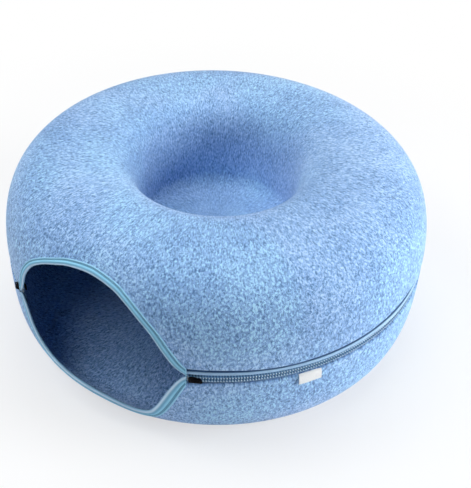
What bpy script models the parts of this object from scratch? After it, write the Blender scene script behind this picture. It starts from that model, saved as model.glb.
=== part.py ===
"""A donut tunnel for a cat: two moulded felt half rings, zipped together round the rim, with one mouth.

Metres, +Z up. The ring's axis is the Z axis and the floor is z = 0. Azimuths are degrees from +X,
counter-clockwise seen from above.
"""

import math

import bpy
from mathutils import Matrix, Vector

# Ring, measured on the outside of the felt
RING_RADIUS = 0.250
LOWER_HEIGHT = 0.1005
UPPER_HEIGHT = 0.1105
FELT = 0.004
UPPER_CREST_RADIUS = 0.150
UPPER_RIM_POWER = 3.0
LOWER_SOLE_RADIUS = 0.190
LOWER_SOLE_INNER_RADIUS = 0.125
LOWER_RIM_POWER = 3.4

# Dimple in the middle of each half
DIMPLE_FLOOR_RADIUS = 0.092
DIMPLE_WALL_POWER = 3.3
DIMPLE_FILLET = 0.012

# Hook and loop patches between the two dimple floors
PATCH_RADIUS = 0.025
PATCH_THICKNESS = 0.0022

# Mouth
MOUTH_AZIMUTH = 237.0
MOUTH_HALF_ANGLE = 27.0
MOUTH_RISE = 0.0885
MOUTH_DROP = 0.0735
BINDING_WIDTH = 0.010
BINDING_CLOTH = 0.0012
UPPER_LEAN_SHARE = 0.66
LOWER_LEAN_SHARE = 0.92
# Places along each lip as shares of the mouth's half width, and its height there as shares of rise or drop
UPPER_LIP_SHARES = (
    (-1.0, 0.0), (-0.91, 0.16), (-0.81, 0.41), (-0.7, 0.625), (-0.565, 0.79), (-0.41, 0.905),
    (-0.24, 0.98), (0.0, 1.01), (0.24, 0.97), (0.4, 0.885), (0.55, 0.76), (0.68, 0.59),
    (0.79, 0.38), (0.9, 0.14), (1.0, 0.0),
)
LOWER_LIP_SHARES = (
    (-1.0, 0.0), (-0.945, 0.05), (-0.87, 0.19), (-0.79, 0.4), (-0.675, 0.6), (-0.49, 0.775),
    (-0.28, 0.86), (-0.05, 0.885), (0.17, 0.905), (0.34, 0.95), (0.5, 0.99), (0.63, 0.91),
    (0.71, 0.74), (0.77, 0.55), (0.83, 0.35), (0.9, 0.16), (0.95, 0.06), (1.0, 0.0),
)

# Zip round the rim
UPPER_FELT_EDGE = 0.0130
LOWER_FELT_EDGE = 0.0045
TAPE_WIDTH = 0.0180
TAPE_THICKNESS = 0.0008
COIL_WIDTH = 0.0028
COIL_DEPTH = 0.0026
CHAIN_HALF_GAP = 0.0008
STOP_LENGTH = 0.0012
HINGE_OFFSET = 0.0015

# Sliders and their pulls
SLIDER_LENGTH = 0.013
SLIDER_SHOULDER_WIDTH = 0.0083
SLIDER_TAIL_WIDTH = 0.0058
SLIDER_SHOULDER_LENGTH = 0.0065
SLIDER_PLATE = 0.0015
SLIDER_PLAY = 0.0004
SLIDER_CORNER = 0.0015
POST_THICKNESS = 0.0010
POST_LENGTH = 0.0030
CROWN_LENGTH = 0.0064
CROWN_WIDTH = 0.0018
CROWN_WALL = 0.0010
CROWN_RISE = 0.0030
PULL_LENGTH = 0.0080
PULL_WIDTH = 0.0050
PULL_THICKNESS = 0.0010
PULL_SIDE = 0.0012
PULL_WINDOW = 0.0042

# Label sewn in under the chain
LABEL_AZIMUTH = 293.7
LABEL_WIDTH = 0.025
LABEL_HEIGHT = 0.014
LABEL_THICKNESS = 0.0008
LABEL_ROUNDING = 0.0003

# Working values
GAP = 0.0003
OVERRUN = 0.004
WELD = 0.00002
SEGMENTS = 60
STEP_ANGLE = 360 / SEGMENTS
FLAT_SHARE = math.cos(math.radians(STEP_ANGLE / 2))
RIM_POINTS = 9
WALL_POINTS = 7
FILLET_POINTS = 3
LIP_POINTS_PER_SHARE = 2
CUTTER_DEPTH_SHARE = 0.2

# Heights and radii that follow. A turned band has its smallest radius at FLAT_SHARE, between two points
SEAM_HEIGHT = LOWER_HEIGHT
FLOOR_LIFT = GAP / 2 + PATCH_THICKNESS + GAP + FELT
TAPE_OUTER = (RING_RADIUS - FELT) * FLAT_SHARE - GAP
COIL_INNER = TAPE_OUTER / FLAT_SHARE + GAP
COIL_OUTER = COIL_INNER + COIL_DEPTH
SLIDER_INNER_TOP = (TAPE_OUTER - TAPE_THICKNESS) * FLAT_SHARE - SLIDER_PLAY
SLIDER_OUTER_BOTTOM = COIL_OUTER + SLIDER_PLAY
SLIDER_OUTER_TOP = SLIDER_OUTER_BOTTOM + SLIDER_PLATE
PULL_AXIS_RADIUS = SLIDER_OUTER_TOP + (CROWN_RISE - CROWN_WALL) / 2
MOUTH_HALF_WIDTH = RING_RADIUS * math.sin(math.radians(MOUTH_HALF_ANGLE))
MOUTH_NEAR = RING_RADIUS * (math.cos(math.radians(MOUTH_HALF_ANGLE)) - CUTTER_DEPTH_SHARE)
BINDING_EDGE = BINDING_CLOTH + GAP
STOP_ANGLE = math.degrees(STOP_LENGTH / RING_RADIUS)
GAP_ANGLE = math.degrees(GAP / RING_RADIUS)
SLIDER_HALF_ANGLE = math.degrees(SLIDER_LENGTH / 2 / RING_RADIUS)
SLIDER_ANGLE = MOUTH_HALF_ANGLE + 2 * GAP_ANGLE + STOP_ANGLE + SLIDER_HALF_ANGLE
HINGE_AZIMUTH = MOUTH_AZIMUTH - 180
HINGE_RADIUS = RING_RADIUS + HINGE_OFFSET


def clear_scene():
    for thing in list(bpy.data.objects):
        bpy.data.objects.remove(thing, do_unlink=True)


def collection(name):
    made = bpy.data.collections.new(name)
    bpy.context.scene.collection.children.link(made)
    return made


clear_scene()
PARTS = collection("donut_cat_tunnel")
CUTTERS = collection("cutters")


def material(name, colour, roughness, metallic=0.0):
    made = bpy.data.materials.new(name)
    made.use_nodes = True
    shader = made.node_tree.nodes["Principled BSDF"]
    shader.inputs["Base Color"].default_value = (*colour, 1.0)
    shader.inputs["Roughness"].default_value = roughness
    shader.inputs["Metallic"].default_value = metallic
    made.diffuse_color = (*colour, 1.0)
    return made


UPPER_FELT_BLUE = material("upper_felt", (0.26, 0.40, 0.70), 0.95)
LOWER_FELT_BLUE = material("lower_felt", (0.24, 0.37, 0.66), 0.95)
TAPE_BLUE = material("zip_tape", (0.30, 0.50, 0.72), 0.8)
COIL_BLUE = material("zip_coil", (0.12, 0.26, 0.36), 0.45)
BINDING_BLUE = material("lip_binding", (0.25, 0.50, 0.66), 0.8)
STOP_WHITE = material("end_stop", (0.65, 0.75, 0.80), 0.5)
SLIDER_BLACK = material("slider", (0.01, 0.01, 0.015), 0.4)
LABEL_WHITE = material("label", (0.85, 0.87, 0.88), 0.8)
PATCH_BLUE = material("centre_patch", (0.10, 0.18, 0.36), 0.9)


def direction(azimuth):
    """The level unit vector pointing away from the ring's axis at this azimuth."""
    return Vector((math.cos(math.radians(azimuth)), math.sin(math.radians(azimuth)), 0))


def rim_frame(azimuth, radius, height):
    """A place on the rim: local X runs along the rim to greater azimuth, Y up and Z outward."""
    out = direction(azimuth)
    along = Vector((-out.y, out.x, 0))
    turn = Matrix((along, Vector((0, 0, 1)), out)).transposed().to_4x4()
    return Matrix.Translation(out * radius + Vector((0, 0, height))) @ turn


def add_object(name, mesh, group, look=None):
    thing = bpy.data.objects.new(name, mesh)
    group.objects.link(thing)
    if look:
        mesh.materials.append(look)
    if group is CUTTERS:
        thing.hide_render = True
        thing.display_type = "WIRE"
    return thing


def superellipse(start, end, power, count):
    """Points from start, where the line is upright, to end, where it is level. Each is (radius, height)."""
    points = []
    for index in range(count):
        angle = math.pi / 2 * index / (count - 1)
        across = abs(math.cos(angle)) ** (2 / power)
        up = abs(math.sin(angle)) ** (2 / power)
        points.append((end[0] + (start[0] - end[0]) * across, start[1] + (end[1] - start[1]) * up))
    return points


def fillet(wall_radius, floor_height, radius, sign):
    """Points round the foot of the dimple wall, from the floor to the wall."""
    points = []
    for index in range(FILLET_POINTS):
        angle = math.pi / 2 * index / FILLET_POINTS
        inward = wall_radius - radius + radius * math.sin(angle)
        points.append((inward, floor_height + sign * radius * (1 - math.cos(angle))))
    return points


def rim_line(crest_radius, crest_height, power, sign, felt_edge):
    """The outside of one half from its felt edge beside the zip to its crest, as heights from the seam."""
    full = superellipse((RING_RADIUS, 0), (crest_radius, crest_height), power, RIM_POINTS)
    above = [point for point in full if point[1] > felt_edge + OVERRUN]
    line = [(RING_RADIUS, felt_edge)] + above
    return [(radius, SEAM_HEIGHT + sign * height) for radius, height in line]


def dimple_line(crest_radius, crest_height, sign):
    """The dimple's wall and floor of one half, from the crest to the ring's axis."""
    foot = FLOOR_LIFT + DIMPLE_FILLET
    crest = (crest_radius, crest_height)
    wall = superellipse((DIMPLE_FLOOR_RADIUS, foot), crest, DIMPLE_WALL_POWER, WALL_POINTS)
    upright = [(radius, SEAM_HEIGHT + sign * height) for radius, height in reversed(wall)]
    floor = SEAM_HEIGHT + sign * FLOOR_LIFT
    round_foot = fillet(DIMPLE_FLOOR_RADIUS, floor, DIMPLE_FILLET, sign)
    return upright + list(reversed(round_foot)) + [(0, floor)]


def turned(name, line, group, look=None, start=None, sweep=360.0):
    """A surface turned about the ring's axis. With radius to the right, its outer side is on the left."""
    mesh = bpy.data.meshes.new(name)
    first = start if start is not None else MOUTH_AZIMUTH + MOUTH_HALF_ANGLE
    out = direction(first)
    points = [(out.x * radius, out.y * radius, height) for radius, height in line]
    mesh.from_pydata(points, [(i, i + 1) for i in range(len(points) - 1)], [])
    thing = add_object(name, mesh, group, look)
    screw = thing.modifiers.new("turn", "SCREW")
    screw.axis = "Z"
    screw.angle = math.radians(sweep)
    screw.steps = round(sweep / STEP_ANGLE)
    screw.render_steps = screw.steps
    screw.use_merge_vertices = True
    screw.merge_threshold = WELD
    screw.use_smooth_shade = True
    return thing


def thicken(thing, inside, outside=0.0):
    """Gives an open surface a wall that reaches this far inside it and outside it."""
    wall = thing.modifiers.new("wall", "SOLIDIFY")
    wall.thickness = inside + outside
    wall.offset = 2 * outside / (inside + outside) - 1
    wall.use_even_offset = True
    wall.use_quality_normals = True
    return thing


def combine(thing, other, operation):
    """Cuts or joins with another solid, which stays out of the model."""
    cut = thing.modifiers.new(f"{operation.lower()}_{other.name}", "BOOLEAN")
    cut.operation = operation
    cut.object = other
    cut.solver = "EXACT"
    return thing


def prism(name, outline, depth, matrix, group=None, look=None):
    """A flat outline given a depth either way along its own Z, as a mesh."""
    flat = bpy.data.curves.new(name + "_outline", "CURVE")
    flat.dimensions = "2D"
    flat.fill_mode = "BOTH"
    flat.extrude = depth / 2
    spline = flat.splines.new("POLY")
    spline.points.add(len(outline) - 1)
    for point, place in zip(spline.points, outline):
        point.co = (place[0], place[1], 0, 1)
    spline.use_cyclic_u = True
    guide = bpy.data.objects.new(name + "_outline", flat)
    CUTTERS.objects.link(guide)
    bpy.context.view_layer.update()
    graph = bpy.context.evaluated_depsgraph_get()
    mesh = bpy.data.meshes.new_from_object(guide.evaluated_get(graph), depsgraph=graph)
    bpy.data.objects.remove(guide)
    thing = add_object(name, mesh, group or CUTTERS, look)
    weld = thing.modifiers.new("weld", "WELD")
    weld.merge_threshold = WELD
    thing.matrix_world = matrix
    return thing


def pivot(name, place, pieces):
    """An empty on a joint's axis that carries these pieces."""
    empty = bpy.data.objects.new(name, None)
    PARTS.objects.link(empty)
    empty.matrix_world = place
    for piece in pieces:
        piece.parent = empty
        piece.matrix_parent_inverse = place.inverted()
    return empty


def block(name, size, place, matrix, group, look=None):
    """A box of this size, its middle at this place in the frame that matrix gives."""
    x, y = size[0] / 2, size[1] / 2
    outline = [(-x, -y), (x, -y), (x, y), (-x, y)]
    return prism(name, outline, size[2], matrix @ Matrix.Translation(Vector(place)), group, look)


def smooth_line(shares, across, up):
    """A smooth line through shares, where each is scaled by across and up. It passes through every one."""
    knots = [Vector((share[0] * across, share[1] * up)) for share in shares]
    padded = [2 * knots[0] - knots[1]] + knots + [2 * knots[-1] - knots[-2]]
    points = []
    for before, here, after, beyond in zip(padded, padded[1:], padded[2:], padded[3:]):
        for index in range(LIP_POINTS_PER_SHARE):
            t = index / LIP_POINTS_PER_SHARE
            bend = (2 * before - 5 * here + 4 * after - beyond) * t * t
            swing = (3 * here - before - 3 * after + beyond) * t ** 3
            points.append(here + ((after - before) * t + bend + swing) / 2)
    return points + [knots[-1]]


def moved_out(line, distance, lean_share):
    """The line moved sideways away from the mouth. Where the felt leans in, the move up is a share."""
    moved = []
    for index, point in enumerate(line):
        ahead = line[min(index + 1, len(line) - 1)]
        behind = line[max(index - 1, 0)]
        along = (ahead - behind).normalized()
        moved.append(point + Vector((-along.y * distance, along.x * distance * lean_share)))
    return moved


def mouth_outline(growth):
    """The mouth's edge seen square on, grown by this much. X runs along the rim and Y up from the seam."""
    upper = smooth_line(UPPER_LIP_SHARES, MOUTH_HALF_WIDTH, MOUTH_RISE)
    lower = smooth_line(LOWER_LIP_SHARES, MOUTH_HALF_WIDTH, MOUTH_DROP)
    upper = moved_out(upper, growth, UPPER_LEAN_SHARE)
    lower = moved_out(lower, growth, LOWER_LEAN_SHARE)
    under = [Vector((point.x, -point.y)) for point in reversed(lower)]
    if growth == 0:
        under = under[1:-1]
    return upper + under


def mouth_prism(name, growth):
    """A cutter through the ring's outer wall with the mouth's outline."""
    depth = RING_RADIUS * (1 + CUTTER_DEPTH_SHARE) - MOUTH_NEAR
    middle = MOUTH_NEAR + depth / 2
    return prism(name, mouth_outline(growth), depth, rim_frame(MOUTH_AZIMUTH, middle, SEAM_HEIGHT))


MOUTH_HOLE = mouth_prism("mouth_hole", 0)
FELT_MOUTH = mouth_prism("felt_mouth", BINDING_EDGE)
BAND_EDGE = mouth_prism("band_edge", BINDING_WIDTH)
EDGE_WRAP = mouth_prism("edge_wrap", BINDING_CLOTH)


def shell(name, line, look):
    """One moulded half of felt, open along the seam, with its half of the mouth cut out."""
    half = thicken(turned(name, line, PARTS, look), FELT)
    return combine(half, FELT_MOUTH, "DIFFERENCE")


def zip_strip(name, low, high, outer, depth, look, first=0.0):
    """A band of the zip from one corner of the mouth round the back to the other."""
    start = MOUTH_AZIMUTH + MOUTH_HALF_ANGLE + first
    sweep = 360 - 2 * (MOUTH_HALF_ANGLE + first)
    line = [(outer, SEAM_HEIGHT + high), (outer, SEAM_HEIGHT + low)]
    return thicken(turned(name, line, PARTS if look else CUTTERS, look, start, sweep), depth)


def zip_half(word, sign):
    """One side of the zip: its woven tape and its row of coil."""
    low, high = sorted((sign * CHAIN_HALF_GAP, sign * (CHAIN_HALF_GAP + TAPE_WIDTH)))
    tape = zip_strip(f"{word}_zip_tape", low, high, TAPE_OUTER, TAPE_THICKNESS, TAPE_BLUE)
    low, high = sorted((sign * CHAIN_HALF_GAP, sign * (CHAIN_HALF_GAP + COIL_WIDTH)))
    past_stop = 2 * GAP_ANGLE + STOP_ANGLE
    coil = zip_strip(f"{word}_zip_coil", low, high, COIL_OUTER, COIL_DEPTH, COIL_BLUE, past_stop)
    return [tape, coil]


def end_stop(word, side, sign):
    """The stop at the end of one row of coil, beside a corner of the mouth."""
    azimuth = MOUTH_AZIMUTH + side * (MOUTH_HALF_ANGLE + GAP_ANGLE + STOP_ANGLE / 2)
    middle = COIL_INNER + COIL_DEPTH / 2
    up = sign * (CHAIN_HALF_GAP + COIL_WIDTH / 2)
    size = (STOP_LENGTH, COIL_WIDTH, COIL_DEPTH)
    frame = rim_frame(azimuth, middle, SEAM_HEIGHT)
    return block(f"{word}_end_stop", size, (0, up, 0), frame, PARTS, STOP_WHITE)


def binding(name, line, sign, look):
    """Folded tape over the felt's edge along one lip: two flanges, joined round the edge."""
    steps = math.ceil(2 * MOUTH_HALF_ANGLE / STEP_ANGLE) + 4
    start = MOUTH_AZIMUTH + MOUTH_HALF_ANGLE + (2 - steps) * STEP_ANGLE
    cover = BINDING_CLOTH + GAP
    tip = [(RING_RADIUS, SEAM_HEIGHT + sign * CHAIN_HALF_GAP / 2)]
    whole = line + tip if sign > 0 else tip + line
    strip = turned(name, whole, PARTS, look, start, steps * STEP_ANGLE)
    thicken(strip, FELT + cover, cover)
    combine(strip, BAND_EDGE, "INTERSECT")
    combine(strip, MOUTH_HOLE, "DIFFERENCE")
    room = turned(name + "_felt_room", line, CUTTERS, None, start - STEP_ANGLE, (steps + 2) * STEP_ANGLE)
    thicken(room, FELT + GAP, GAP)
    combine(room, EDGE_WRAP, "DIFFERENCE")
    combine(strip, room, "DIFFERENCE")
    combine(strip, ZIP_ROOM, "DIFFERENCE")
    return combine(strip, TAPE_ROOM, "DIFFERENCE")


def facing(outline, side):
    """An outline drawn for the right-hand side of the mouth, mirrored for the left."""
    return outline if side > 0 else [(-x, y) for x, y in reversed(outline)]


def plate_outline():
    """A slider's plate: wide shoulders towards the mouth, where the rows of coil part, and a narrow tail."""
    half, shoulder, tail = SLIDER_LENGTH / 2, SLIDER_SHOULDER_WIDTH / 2, SLIDER_TAIL_WIDTH / 2
    waist = SLIDER_SHOULDER_LENGTH - half
    taper = waist + shoulder - tail
    front, back = SLIDER_CORNER, SLIDER_CORNER / 2
    above = [
        (half, tail - back), (half - back, tail), (taper, tail), (waist, shoulder), (front - half, shoulder),
        (-half, shoulder - front),
    ]
    return [(x, -y) for x, y in reversed(above)] + above


def slider(word, side):
    """A zip slider: outer and inner plates, the post between them, and a crown over the pull's bar."""
    frame = rim_frame(MOUTH_AZIMUTH + side * SLIDER_ANGLE, 0, SEAM_HEIGHT)
    name = f"{word}_slider_body"
    outline = facing(plate_outline(), side)
    outer_place = frame @ Matrix.Translation((0, 0, SLIDER_OUTER_BOTTOM + SLIDER_PLATE / 2))
    inner_place = frame @ Matrix.Translation((0, 0, SLIDER_INNER_TOP - SLIDER_PLATE / 2))
    body = prism(name, outline, SLIDER_PLATE, outer_place, PARTS, SLIDER_BLACK)
    inner = prism(name + "_inner_plate", outline, SLIDER_PLATE, inner_place)
    post_top = SLIDER_OUTER_BOTTOM + SLIDER_PLATE / 2
    post_foot = SLIDER_INNER_TOP - SLIDER_PLATE / 2
    post_size = (POST_LENGTH, POST_THICKNESS, post_top - post_foot)
    post_along = side * (SLIDER_CORNER + POST_LENGTH / 2 - SLIDER_LENGTH / 2)
    post_place = (post_along, 0, (post_top + post_foot) / 2)
    post = block(name + "_post", post_size, post_place, frame, CUTTERS)
    crown_size = (CROWN_LENGTH, CROWN_WIDTH, CROWN_RISE + SLIDER_PLATE / 2)
    crown_place = (0, 0, SLIDER_OUTER_TOP + CROWN_RISE / 2 - SLIDER_PLATE / 4)
    crown = block(name + "_crown", crown_size, crown_place, frame, CUTTERS)
    room = CROWN_RISE - CROWN_WALL
    room_size = (CROWN_LENGTH - 2 * CROWN_WALL, CROWN_WIDTH + OVERRUN, room)
    window = block(name + "_crown_room", room_size, (0, 0, SLIDER_OUTER_TOP + room / 2), frame, CUTTERS)
    combine(crown, window, "DIFFERENCE")
    for piece in (inner, post, crown):
        combine(body, piece, "UNION")
    return body


def pull(word, side):
    """The pull tab: a bar under the crown, two sides past it, and a solid end. It lies along the chain."""
    frame = rim_frame(MOUTH_AZIMUTH + side * SLIDER_ANGLE, PULL_AXIS_RADIUS, SEAM_HEIGHT)
    bar, wide, end = PULL_THICKNESS / 2, PULL_WIDTH / 2, PULL_LENGTH
    above = [(end, wide - bar), (end - bar, wide), (-bar, wide)]
    outline = [(x, -y) for x, y in reversed(above)] + above
    name = f"{word}_slider_pull"
    tab = prism(name, facing(outline, side), PULL_THICKNESS, frame, PARTS, SLIDER_BLACK)
    window_size = (PULL_WINDOW - bar, PULL_WIDTH - 2 * PULL_SIDE, PULL_THICKNESS + OVERRUN)
    window = block(name + "_window", window_size, (side * (bar + PULL_WINDOW) / 2, 0, 0), frame, CUTTERS)
    return combine(tab, window, "DIFFERENCE")


def patch(name, low):
    """A round patch of hook or loop fabric on the ring's axis."""
    line = [(0, low + PATCH_THICKNESS), (PATCH_RADIUS, low + PATCH_THICKNESS), (PATCH_RADIUS, low), (0, low)]
    return turned(name, line, PARTS, PATCH_BLUE)


def label():
    """A blank fabric label, sewn in along the chain's lower edge."""
    distance = RING_RADIUS + GAP + LABEL_THICKNESS / 2
    up = -LOWER_FELT_EDGE - GAP - LABEL_HEIGHT / 2
    frame = rim_frame(LABEL_AZIMUTH, distance, SEAM_HEIGHT)
    size = (LABEL_WIDTH, LABEL_HEIGHT, LABEL_THICKNESS)
    made = block("side_label", size, (0, up, 0), frame, PARTS, LABEL_WHITE)
    edge = made.modifiers.new("soft_edge", "BEVEL")
    edge.width = LABEL_ROUNDING
    edge.segments = 1
    return made


UPPER_RIM = rim_line(UPPER_CREST_RADIUS, UPPER_HEIGHT, UPPER_RIM_POWER, 1, UPPER_FELT_EDGE)
LOWER_RIM = rim_line(LOWER_SOLE_RADIUS, LOWER_HEIGHT, LOWER_RIM_POWER, -1, LOWER_FELT_EDGE)
UPPER_DIMPLE = dimple_line(UPPER_CREST_RADIUS, UPPER_HEIGHT, 1)
LOWER_DIMPLE = dimple_line(LOWER_SOLE_INNER_RADIUS, LOWER_HEIGHT, -1)

# The upper line is turned from the axis outward and down, and the lower one from the rim down and inward
UPPER_LINE = list(reversed(UPPER_RIM[:-1] + UPPER_DIMPLE))
LOWER_LINE = LOWER_RIM + LOWER_DIMPLE

upper_pieces = [shell("upper_shell", UPPER_LINE, UPPER_FELT_BLUE)] + zip_half("upper", 1)
shell("lower_shell", LOWER_LINE, LOWER_FELT_BLUE)
zip_half("lower", -1)
for side_word, side_sign in (("right", 1), ("left", -1)):
    upper_pieces.append(end_stop(f"{side_word}_upper", side_sign, 1))
    end_stop(f"{side_word}_lower", side_sign, -1)
    body = slider(side_word, side_sign)
    travel = pivot(f"{side_word}_slider_travel", Matrix.Translation((0, 0, SEAM_HEIGHT)), [body])
    turning = rim_frame(MOUTH_AZIMUTH + side_sign * SLIDER_ANGLE, PULL_AXIS_RADIUS, SEAM_HEIGHT)
    flip = pivot(f"{side_word}_pull_flip", turning, [pull(side_word, side_sign)])
    flip.parent = travel
    flip.matrix_parent_inverse = travel.matrix_world.inverted()
ZIP_ROOM = zip_strip("zip_room", -LOWER_FELT_EDGE - GAP, UPPER_FELT_EDGE + GAP, RING_RADIUS + OVERRUN,
                     FELT + 3 * OVERRUN, None)
TAPE_ROOM = zip_strip("tape_room", -CHAIN_HALF_GAP - TAPE_WIDTH - GAP, CHAIN_HALF_GAP + TAPE_WIDTH + GAP,
                      COIL_INNER, GAP + TAPE_THICKNESS + OVERRUN, None)
upper_pieces.append(binding("upper_lip_binding", list(reversed(UPPER_RIM)), 1, BINDING_BLUE))
binding("lower_lip_binding", LOWER_RIM, -1, BINDING_BLUE)
patch("centre_hook_patch", SEAM_HEIGHT - GAP / 2 - PATCH_THICKNESS)
upper_pieces.append(patch("centre_loop_patch", SEAM_HEIGHT + GAP / 2))
label()
pivot("upper_half_hinge", rim_frame(HINGE_AZIMUTH, HINGE_RADIUS, SEAM_HEIGHT), upper_pieces)
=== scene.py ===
"""Looks of the donut cat tunnel: moulded felt, bound mouth, coil zip with two sliders, label, light and camera.

Metres and degrees, +Z up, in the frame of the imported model. Tables of heights and radii are in millimetres, with
heights from the seam between the two felt halves.
"""

import math

import bpy
from mathutils import Matrix, Vector


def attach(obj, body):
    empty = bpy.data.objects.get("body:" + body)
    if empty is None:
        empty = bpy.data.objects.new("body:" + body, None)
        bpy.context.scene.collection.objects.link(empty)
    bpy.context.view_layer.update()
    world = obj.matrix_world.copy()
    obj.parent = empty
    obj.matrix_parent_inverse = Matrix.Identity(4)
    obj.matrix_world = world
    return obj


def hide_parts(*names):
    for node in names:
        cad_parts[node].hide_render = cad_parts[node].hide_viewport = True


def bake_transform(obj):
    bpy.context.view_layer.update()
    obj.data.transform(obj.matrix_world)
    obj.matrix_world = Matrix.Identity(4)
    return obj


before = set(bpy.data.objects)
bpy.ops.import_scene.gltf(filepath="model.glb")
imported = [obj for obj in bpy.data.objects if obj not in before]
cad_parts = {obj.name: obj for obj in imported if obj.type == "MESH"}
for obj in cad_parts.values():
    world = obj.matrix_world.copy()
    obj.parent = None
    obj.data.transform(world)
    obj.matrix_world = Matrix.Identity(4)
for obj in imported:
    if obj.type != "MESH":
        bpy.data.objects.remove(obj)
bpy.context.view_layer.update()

MM = 0.001
RIM = 0.250
SEAM = 0.1005
FELT = 0.004
SOLE_INNER = 0.125
DIMPLE_FLOOR = 0.092
DIMPLE_POWER = 3.3
DIMPLE_FILLET = 0.012
FLOOR_LIFT = 0.00665
FELT_STEPS = 180

MOUTH_AZIMUTH = 237.0
MOUTH_HALF_ANGLE = 27.0
MOUTH_HALF_WIDTH = RIM * math.sin(math.radians(MOUTH_HALF_ANGLE))
# The mouth's two lips, in shares of the mouth's half width and of each lip's rise
UPPER_LIP = (
    (-1.0, 0.0), (-0.915, 0.18), (-0.835, 0.44), (-0.72, 0.653), (-0.572, 0.793), (-0.41, 0.89),
    (-0.24, 0.962), (0.0, 0.996), (0.24, 0.953), (0.39, 0.872), (0.54, 0.745), (0.677, 0.588),
    (0.79, 0.38), (0.9, 0.14), (1.0, 0.0),
)
LOWER_LIP = (
    (-1.0, 0.0), (-0.95, 0.05), (-0.88, 0.19), (-0.805, 0.41), (-0.695, 0.615), (-0.505, 0.785),
    (-0.28, 0.862), (-0.05, 0.885), (0.17, 0.905), (0.34, 0.95), (0.5, 0.99), (0.63, 0.91),
    (0.71, 0.74), (0.77, 0.55), (0.83, 0.35), (0.9, 0.16), (0.95, 0.06), (1.0, 0.0),
)
# The outside of each half runs from the rim at the seam to its crest. Its felt ends at the edge, short of the zip
UPPER = {
    "sign": 1, "height": 0.1105, "crest": 0.150, "power": 3.0, "edge": 0.0130,
    "lip": UPPER_LIP, "rise": 0.0885, "lean": 0.66,
}
LOWER = {
    "sign": -1, "height": 0.1005, "crest": 0.190, "power": 3.4, "edge": 0.0045,
    "lip": LOWER_LIP, "rise": 0.0735, "lean": 0.92,
}

ZIP_START = MOUTH_AZIMUTH + MOUTH_HALF_ANGLE
ZIP_SWEEP = 360 - 2 * MOUTH_HALF_ANGLE
SLIDER_ANGLE = 28.90222
SLIDER_INNER_TOP = 0.24383
SLIDER_OUTER_BOTTOM = 0.2490
SLIDER_OUTER_TOP = 0.2505
PULL_AXIS = 0.2515
BACK_AZIMUTH = MOUTH_AZIMUTH - 180
# Heights of the two felt edges by azimuth, for the upper half and the lower one
FELT_EDGES = {
    1: ((0, 15.5), (180, 15.0), (210, 15.7), (273, 15.7), (277, 14.8), (280, 14.2), (283, 13.7), (288, 13.4),
        (299, 14.1), (306, 14.6), (310, 14.9), (314, 15.4), (318, 16.1), (323, 17.2), (329, 18.7), (335, 18.6),
        (346, 16.6), (360, 15.5)),
    -1: ((0, 5.6), (180, 5.6), (210, 7.2), (264, 7.4), (286, 7.2), (300, 6.0), (360, 5.6)),
}
# How far the fold of the upper tape sags, by azimuth
FOLD_SAG = (
    (264, 0.0), (272, 0.0), (280, 0.8), (287, 1.4), (300, 1.9), (310, 1.9), (318, 2.2), (325, 3.0), (333, 3.1),
    (346, 1.6), (360, 0.6),
)
# Painted light on the binding across its section, by the points of that section: painted shade at its outer edge and
# in its two grooves and crease, painted highlight on its bead, band and inner fold, and darker on its part inside the
# mouth
BINDING_SHADE_AND_HIGHLIGHT = (
    (0.0, (0.20, 0.45, 0.62)), (1.2, (0.44, 0.78, 0.92)), (2.6, (0.58, 0.92, 1.0)), (4.4, (0.44, 0.80, 0.92)),
    (5.4, (0.20, 0.50, 0.66)), (6.0, (0.06, 0.24, 0.38)), (7.0, (0.22, 0.52, 0.68)), (8.0, (0.28, 0.62, 0.76)),
    (9.0, (0.22, 0.52, 0.68)), (10.0, (0.08, 0.28, 0.42)), (11.2, (0.34, 0.72, 0.88)), (12.4, (0.50, 0.92, 1.0)),
    (13.2, (0.42, 0.82, 0.95)), (14.5, (0.22, 0.52, 0.68)), (15.6, (0.38, 0.66, 0.78)), (16.6, (0.82, 0.94, 1.0)),
    (17.6, (0.80, 0.94, 1.0)), (18.6, (0.45, 0.72, 0.85)), (20.0, (0.30, 0.50, 0.64)), (22.0, (0.15, 0.32, 0.42)),
    (26.0, (0.15, 0.32, 0.42)),
)
# Painted shade on the tapes across their lines, by the points of those lines: dark behind the coil and under the
# felt's edge, where shade falls
TAPE_PAINTED_SHADE = (
    (0.0, (0.21, 0.31, 0.43)), (2.4, (0.20, 0.31, 0.44)), (3.2, (0.30, 0.42, 0.52)), (4.2, (0.50, 0.60, 0.68)),
    (5.6, (0.95, 0.97, 1.0)), (9.8, (1.0, 1.0, 1.0)), (10.7, (0.34, 0.42, 0.50)), (11.3, (0.14, 0.22, 0.33)),
    (14.0, (0.13, 0.20, 0.31)),
)


# ---------------------------------------------------------------- places on the ring

def outward(azimuth):
    return Vector((math.cos(math.radians(azimuth)), math.sin(math.radians(azimuth)), 0))


def rim_frame(azimuth, radius=0.0, height=SEAM):
    """X runs along the rim to greater azimuth, Y up and Z outward."""
    out = outward(azimuth)
    turn = Matrix((Vector((-out.y, out.x, 0)), Vector((0, 0, 1)), out)).transposed().to_4x4()
    return Matrix.Translation(out * radius + Vector((0, 0, height))) @ turn


def rim_place(azimuth, height, radius):
    return outward(azimuth) * radius + Vector((0, 0, SEAM + height))


def outer_radius(height):
    """The felt's outside radius at a height above or below the seam."""
    half = UPPER if height >= 0 else LOWER
    share = min(abs(height) / half["height"], 0.9999)
    return half["crest"] + (RIM - half["crest"]) * (1 - share ** half["power"]) ** (1 / half["power"])


def outer_slope(height):
    """How much the outside radius grows per metre of height."""
    step = 0.0005
    return (outer_radius(height + step) - outer_radius(height - step)) / (2 * step)


MOUTH_FRAME = rim_frame(MOUTH_AZIMUTH)


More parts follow.
